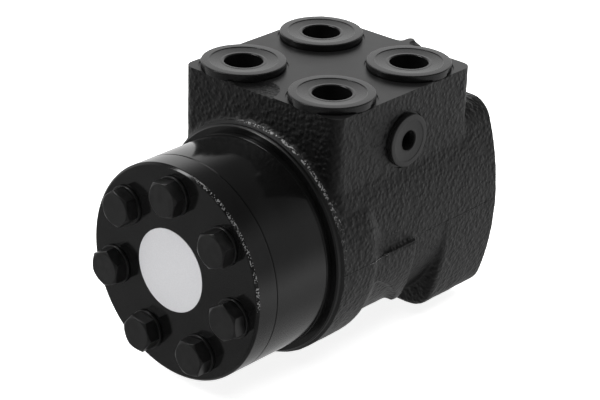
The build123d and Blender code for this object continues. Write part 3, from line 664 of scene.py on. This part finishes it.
def makeGearSet():
    size = {
        "plateHole": 13.2, "platePort": 2.6, "platePorts": 27.5, "edge": 0.35,
        "ringInner": 31.75, "lobeCircle": 32.5, "lobe": 8.0, "lobeGap": 0.001,
        "coverBack": 0.3, "coverFront": 0.9, "coverEdge": 0.45, "past": 1.6,
    }
    outer, first, second, third, face = (stack[k] for k in ("outer", "plate", "ring", "cover", "face"))
    steps = range(screwPlan["count"])

    def screwHoles(low, high):
        places = [around(screwPlan["circle"], k) for k in steps]
        return [rod("hole", screwPlan["hole"], low - 1, high + 1, where, sides=32) for where in places]

    plate = turned("distributorPlate", ringShape(first, second, size["plateHole"], outer), 144, ring=True)
    soften(plate, size["edge"])
    settle(plate, turn=axisDown)
    holes = screwHoles(first, second)
    low, high = first - size["past"], second + size["past"]
    for k in steps:
        holes.append(rod("hole", size["platePort"], low, high, around(size["platePorts"], k, 0.5), sides=32))
    cutWith(plate, merged("holes", holes))

    ring = turned("gearRing", ringShape(second, third, size["ringInner"], outer), 144, ring=True)
    soften(ring, size["edge"])
    settle(ring, turn=axisDown)
    ends = (second + size["lobeGap"], third - size["lobeGap"])
    for k in steps:
        cutWith(ring, rod("lobe", size["lobe"], *ends, around(size["lobeCircle"], k), sides=64), "UNION")
    cutWith(ring, merged("holes", screwHoles(second, third)))

    back, front = size["coverBack"], size["coverFront"]
    cover = turned("endCover", [
        (third, outer - back), (third + back, outer), (face - front, outer), (face, outer - front)], 144)
    soften(cover, size["coverEdge"], 4, 20)
    settle(cover, turn=axisDown)
    cutWith(cover, merged("holes", screwHoles(third, face)))
    for piece, node in ((plate, "distributor_plate"), (ring, "gear_ring"), (cover, "end_cover")):
        smoothShade(paint(piece, turnedPaint))
        dress(piece, "casing", "turned_paint", node)


def makeScrews():
    size = {
        "flats": 13.0, "height": 5.1, "dome": 8.0, "flatTop": 6.2, "cone": 30.0, "edge": 0.28,
        "shank": 4.0, "shankEnd": 83.3, "lead": 0.6, "inHead": 0.05,
        "tip": 2.4, "tipEnd": 78.0, "tipLength": 8.8, "tipLead": 0.4,
        "washer": 7.7, "washerDepth": 1.2, "washerEdge": 0.3,
        "turns": [42, 70, 55, 82, 38, 63, 50],      # where each head came to rest, in degrees
    }
    height, dome, flatTop = size["height"], size["dome"], size["flatTop"]
    corner = size["flats"] / sqrt(3)
    head = turned("screwHead", [(0, corner), (height, corner)], 6)
    drop = (dome - flatTop) * tan(radians(size["cone"]))
    cutWith(head, turned("dome", [(-1, dome), (height - drop, dome), (height, flatTop)]), "INTERSECT")
    soften(head, size["edge"], angle=20)

    # heights of the shanks are from the underside of the head
    deep, shank, inHead = stack["heads"], size["shank"], size["inHead"]
    end, lead = size["shankEnd"] - deep, size["lead"]
    plain = turned("shank", [(end, shank - lead)] + stepped((end + lead, inHead, shank)), 48)
    end, lead, tip = size["tipEnd"] - deep, size["tipLead"], size["tip"]
    step = end + size["tipLength"]
    profile = [(end, tip - lead)] + stepped((end + lead, step, tip), (step, inHead, shank))
    tipped = turned("tippedShank", profile, 48)
    profile = ringShape(0, size["washerDepth"], screwPlan["hole"], size["washer"])
    disc = soften(turned("disc", profile, 80, ring=True), size["washerEdge"])

    screws, washers = [], []
    for k, turn in enumerate(size["turns"]):
        x, z = around(screwPlan["circle"], k)
        screw = settle(copyOf(head, "capScrew"), turn=(0, 0, radians(turn)))
        if k == screwPlan["pinIndex"]:
            screw = pinScrew = merged("pinScrew", [screw, tipped])
        else:
            screw = merged("capScrew", [screw, copyOf(plain, "shank")])
            screws.append(screw)
        settle(screw, (x, -deep, z), axisDown)
        washers.append(settle(copyOf(disc, "washer"), (x, -stack["face"], z), axisDown))
    for pattern in (head, plain, disc):
        bpy.data.objects.remove(pattern)
    sixScrews = merged("coverScrews", screws)
    washers = merged("screwWashers", washers)
    for piece, node in ((sixScrews, "cover_bolts"), (pinScrew, "pin_bolt"), (washers, "bolt_washers")):
        smoothShade(paint(piece, screwPaint))
        dress(piece, "casing", "screw_paint", node)


def makeLabel():
    size = {"radius": 16.4, "thick": 0.2, "edge": 0.07, "x": -1.6, "z": 0.6}
    label = turned("coverLabel", [(0, size["radius"]), (size["thick"], size["radius"])], 128)
    soften(label, size["edge"], 2)
    settle(label, (size["x"], -stack["face"], size["z"]), axisDown)
    smoothShade(paint(label, labelFilm))
    dress(label, "casing", "label_film", "cover_label")


def makePlugs():
    main = {
        "flange": 16.4, "rim": 3.2, "rise": 2.5, "dish": 0.6, "hollow": 7.45, "sink": 0.5, "shank": 9.45,
        "shankLength": 8.0, "floor": 1.5, "edge": 0.45, "step": 0.25, "lip": 1.6,
    }
    side = {
        "flange": 10.4, "rim": 2.2, "rise": 2.1, "dish": 0.38, "hollow": 3.85, "sink": 0.5, "shank": 5.85,
        "shankLength": 6.0, "floor": 1.5, "edge": 0.4, "step": 0.15, "lip": 0.9,
    }
    both = {"lead": 0.4, "ease": 0.3, "bead": 0.1, "beadEdge": 0.3, "mouth": 0.2, "soft": 0.08}

    def plug(title, size):
        # from the end of the shank over the flange and down into the hollow
        end = -size["sink"] - size["shankLength"]
        rise, edge, flange, hollow = (size[k] for k in ("rise", "edge", "flange", "hollow"))
        top, inner, lip = rise - size["dish"], flange - size["rim"], hollow + size["lip"]
        lead, ease, bead = both["lead"], edge * both["ease"], top + both["bead"]
        profile = [
            (end, size["shank"] - lead), (end + lead, size["shank"]), (-size["sink"], size["shank"]),
            (-size["sink"], flange), (rise - edge, flange), (rise - ease, flange - ease),
            (rise, flange - edge), (rise, inner), (rise - size["step"], inner - size["step"]), (top, lip),
            (bead, lip - both["beadEdge"]), (bead, hollow + both["beadEdge"]), (top - both["mouth"], hollow),
            (end + size["floor"], hollow),
        ]
        return smoothShade(paint(soften(turned(title, profile, 128), both["soft"], 2, 25), plugPlastic))

    pattern = plug("mainPlug", main)
    for name, (x, depth) in ports.items():
        piece = settle(copyOf(pattern, name + "Plug"), (x, -depth, stack["top"]))
        dress(piece, name + "_plug", "plug_plastic", name + "_port_plug")
    bpy.data.objects.remove(pattern)
    where = (sensing["x"] + side["sink"], -sensing["depth"], sensing["z"])
    piece = settle(plug("sensingPlug", side), where, axisSide)
    dress(piece, "sensing_plug", "plug_plastic", "sensing_port_plug")


def makeSprings():
    # the centring springs, copied from the CAD and carried by the sleeve; in the real unit the leaves are
    # pressed flat in their slot as the spool turns in the sleeve, which this copy does not show
    springs = {"keep": 0.13, "edge": 0.05}
    pack = paint(tidyMesh(copyOf(nodes["centring_springs"], "leafSprings")), springSteel)
    soften(pack, springs["edge"], 2)
    dress(pack, "valve_sleeve", "spring_steel", "centring_springs")
    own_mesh(pack)


makeHousing()
print("housing ready")
makeGearSet()
print("gear set ready")
makeScrews()
makeLabel()
makePlugs()
makeSprings()
print("screws, label, plugs and springs ready")


def makeStudio():
    studio = {"floorZ": -46.4, "floorHalf": 3000.0, "tone": 0.95, "rough": 0.9, "glow": 0.85}
    # place, aim and size in metres, and power in watts
    lamps = {
        "overhead": ((0, 0.1, 0.9), (0, 0, 0), (1.4, 1.4), 12.0),
        "leftBox": ((-0.9, -0.3, 0.35), (0, -0.05, 0), (0.3, 0.9), 3.0),
        "edgeBox": ((-0.5, -0.6, 0.8), (0, -0.12, 0), (0.2, 0.75), 3.4),
    }
    # the air is brightest low down at the back left, and dark above and on the camera's side of the room
    sky = {
        "behind": (-1.1, 0.7), "side": (-0.6, 0.6), "rightRise": (-0.35, 0.05), "rightLow": 0.64,
        "right": 0.27, "belowRise": (-0.65, -0.3), "below": 0.5, "topRise": (0.34, 0.68), "above": 0.08,
        "least": 0.05,
    }
    bpy.ops.object.select_all(action="DESELECT")
    half = studio["floorHalf"] * mm
    bpy.ops.mesh.primitive_plane_add(size=2 * half, location=(0, 0, studio["floorZ"] * mm))
    floor = bpy.context.object
    floor.name = "studioFloor"
    r = finishOf("studioWhite")
    floor.data.materials.append(r.finish(
        Base_Color=colour(studio["tone"]), Roughness=studio["rough"], Emission_Color=colour(1.0),
        Emission_Strength=studio["glow"]))
    floor.visible_glossy = False

    for title, (spot, aim, size, power) in lamps.items():
        data = bpy.data.lights.new(title, "AREA")
        data.shape = "RECTANGLE"
        data.size, data.size_y = size
        data.energy = power
        lamp = bpy.data.objects.new(title, data)
        lamp.location = spot
        lamp.visible_glossy = title == "edgeBox"      # the only lamp that the paint mirrors
        lamp.rotation_euler = (Vector(aim) - Vector(spot)).to_track_quat("-Z", "Y").to_euler()
        bpy.context.scene.collection.objects.link(lamp)

    world = bpy.data.worlds.new("studioAir")
    bpy.context.scene.world = world
    r = Recipe(world, "Background", "Generated")
    x, y, z = r.split()
    behind = y.ramp(*sky["behind"], kind="LINEAR")
    level = z.ramp(*sky["topRise"], 1.0, sky["above"])
    right = z.ramp(*sky["rightRise"], sky["rightLow"], sky["right"])
    across = 1 - x.ramp(*sky["side"], kind="LINEAR") * (1 - right)
    under = z.ramp(*sky["belowRise"], sky["below"], 1.0)
    glow = behind * level * across * under + sky["least"]
    seen = r.node("ShaderNodeLightPath", {}, output="Is Camera Ray")
    r.finish(Color=(1, 1, 1, 1), Strength=r.blendValue(seen, glow, 1.0))
    bpy.context.scene.view_settings.view_transform = "Standard"


def makeCamera():
    # the photograph's own viewpoint, worked out from straight edges and circles of known size
    shot = {
        "place": (503.0, -637.6, 362.8), "yaw": 41.507, "down": 25.193, "roll": 1.604,
        "focalPixels": 2165.7, "width": 600, "height": 400, "centreX": 298.65, "centreY": 203.24,
        "sensor": 36.0, "near": 0.01, "far": 20,
    }
    yaw, down, roll = (radians(shot[k]) for k in ("yaw", "down", "roll"))
    ahead = Vector((-sin(yaw) * cos(down), cos(yaw) * cos(down), -sin(down)))
    right = ahead.cross(Vector((0, 0, 1))).normalized()
    up = right.cross(ahead)
    right, up = cos(roll) * right + sin(roll) * up, cos(roll) * up - sin(roll) * right
    data = bpy.data.cameras.new("photoCamera")
    data.sensor_width = shot["sensor"]
    data.lens = shot["focalPixels"] / shot["width"] * shot["sensor"]
    data.shift_x = (shot["width"] / 2 - shot["centreX"]) / shot["width"]
    data.shift_y = (shot["centreY"] - shot["height"] / 2) / shot["width"]
    data.clip_start, data.clip_end = shot["near"], shot["far"]
    camera = bpy.data.objects.new("photoCamera", data)
    turn = Matrix((right, up, -ahead)).transposed().to_4x4()
    camera.matrix_world = Matrix.Translation(Vector(shot["place"]) * mm) @ turn
    bpy.context.scene.collection.objects.link(camera)
    bpy.context.scene.camera = camera


makeStudio()
makeCamera()
print("studio and camera ready")
